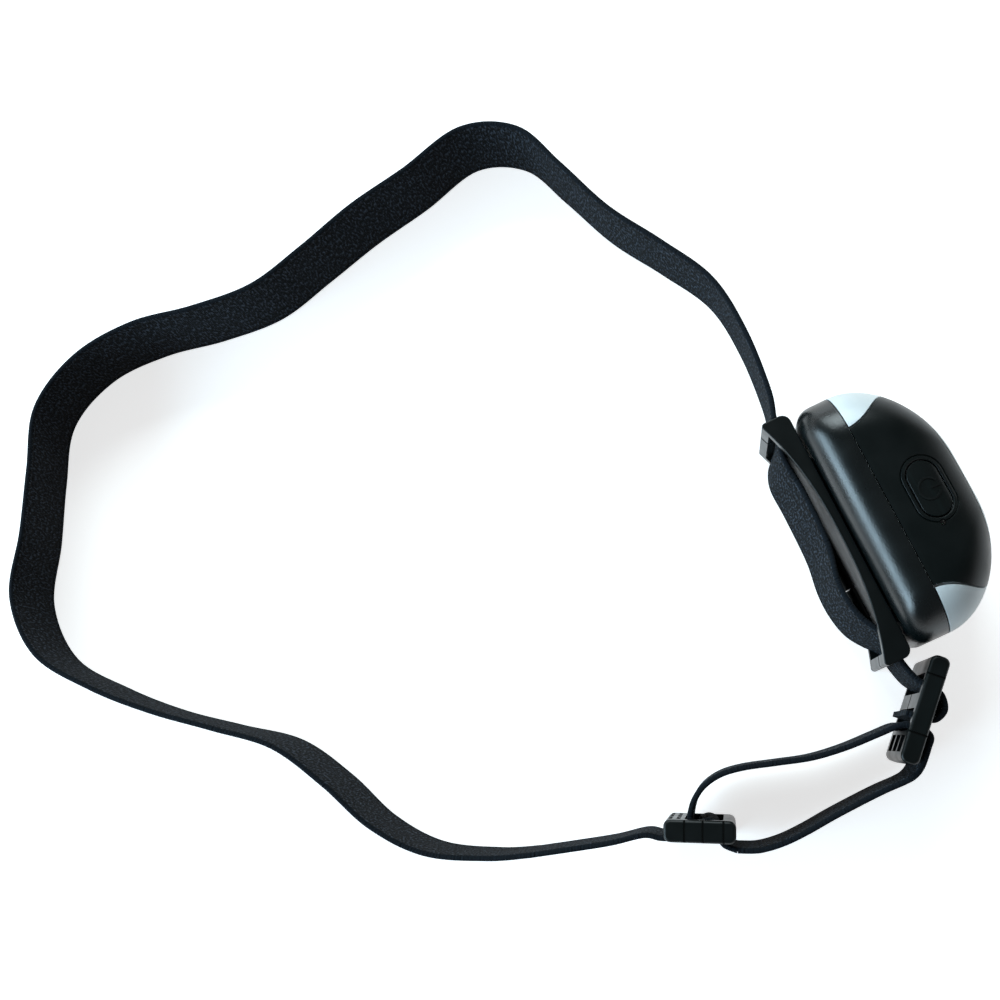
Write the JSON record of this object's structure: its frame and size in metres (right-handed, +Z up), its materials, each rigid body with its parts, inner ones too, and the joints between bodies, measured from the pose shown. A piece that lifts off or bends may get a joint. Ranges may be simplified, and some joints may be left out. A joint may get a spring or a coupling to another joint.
{
  "type": "headlamp",
  "caption": "Headlamp: a two-part housing with a push button on top, tilting on a curved head bracket, with an adjustable woven elastic head strap.",
  "frame": {"origin": "on the flat underside of the housing, midway across its width", "axes": "+X along the housing's width, -Y the way the light shines, +Y back along the strap's loop, +Z up"},
  "size_m": [0.1986, 0.2303, 0.04],
  "materials": {
    "gloss_black": "semi-gloss moulded",
    "woven_black": "woven elastic",
    "textured_black": "fine grain",
    "pale_grey": "satin",
    "soft_black": "soft touch",
    "clear": "clear",
    "silver": "bright",
    "board_green": "lacquered board",
    "led_yellow": "phosphor",
    "steel": "plain",
    "cell_wrap": "plain wrap"
  },
  "bodies": {
    "bracket_and_strap": {"head_bracket": "gloss_black", "tilt_hinge_pin": "steel", "strap_connector": "gloss_black", "strap_main": "woven_black", "strap_feed": "woven_black", "strap_adjuster_loop": "woven_black"},
    "rear_housing": {"rear_shell": "textured_black", "case_hinge_pin": "steel", "cell_upper": "cell_wrap", "cell_middle": "cell_wrap", "cell_lower": "cell_wrap", "cell_spring_upper": "steel", "cell_spring_middle": "steel", "cell_spring_lower": "steel", "contact_plate_left": "steel", "contact_plate_right": "steel"},
    "front_housing": {"front_shell": "pale_grey", "saddle_cover": "soft_black", "indicator_light_pipe": "clear", "lens": "clear", "reflector": "silver", "led_board": "board_green", "main_led": "led_yellow", "flood_led_left": "led_yellow", "flood_led_right": "led_yellow", "tact_switch": "gloss_black", "board_screw_left": "steel", "board_screw_right": "steel"},
    "button": {"power_button": "soft_black"},
    "slider": {"strap_slider": "gloss_black"}
  },
  "joints": [
    {"name": "lamp_tilt", "type": "hinge", "parent": "bracket_and_strap", "child": "rear_housing", "pos_m": [0, 0.0152, 0.0033], "axis": [1, 0, 0], "range_deg": [0, 60]},
    {"name": "case_open", "type": "hinge", "parent": "rear_housing", "child": "front_housing", "pos_m": [0, 0.004, 0.0019], "axis": [1, 0, 0], "range_deg": [0, 75]},
    {"name": "button_press", "type": "slide", "parent": "front_housing", "child": "button", "axis": [0, 0, -1], "range_m": [0, 0.0008], "stiffness_N_per_m": 600},
    {"name": "strap_adjust", "type": "slide", "parent": "bracket_and_strap", "child": "slider", "axis": [-0.4352, -0.9003, 0], "range_m": [-0.02, 0.015], "deforming": ["strap_feed", "strap_adjuster_loop"]}
  ]
}
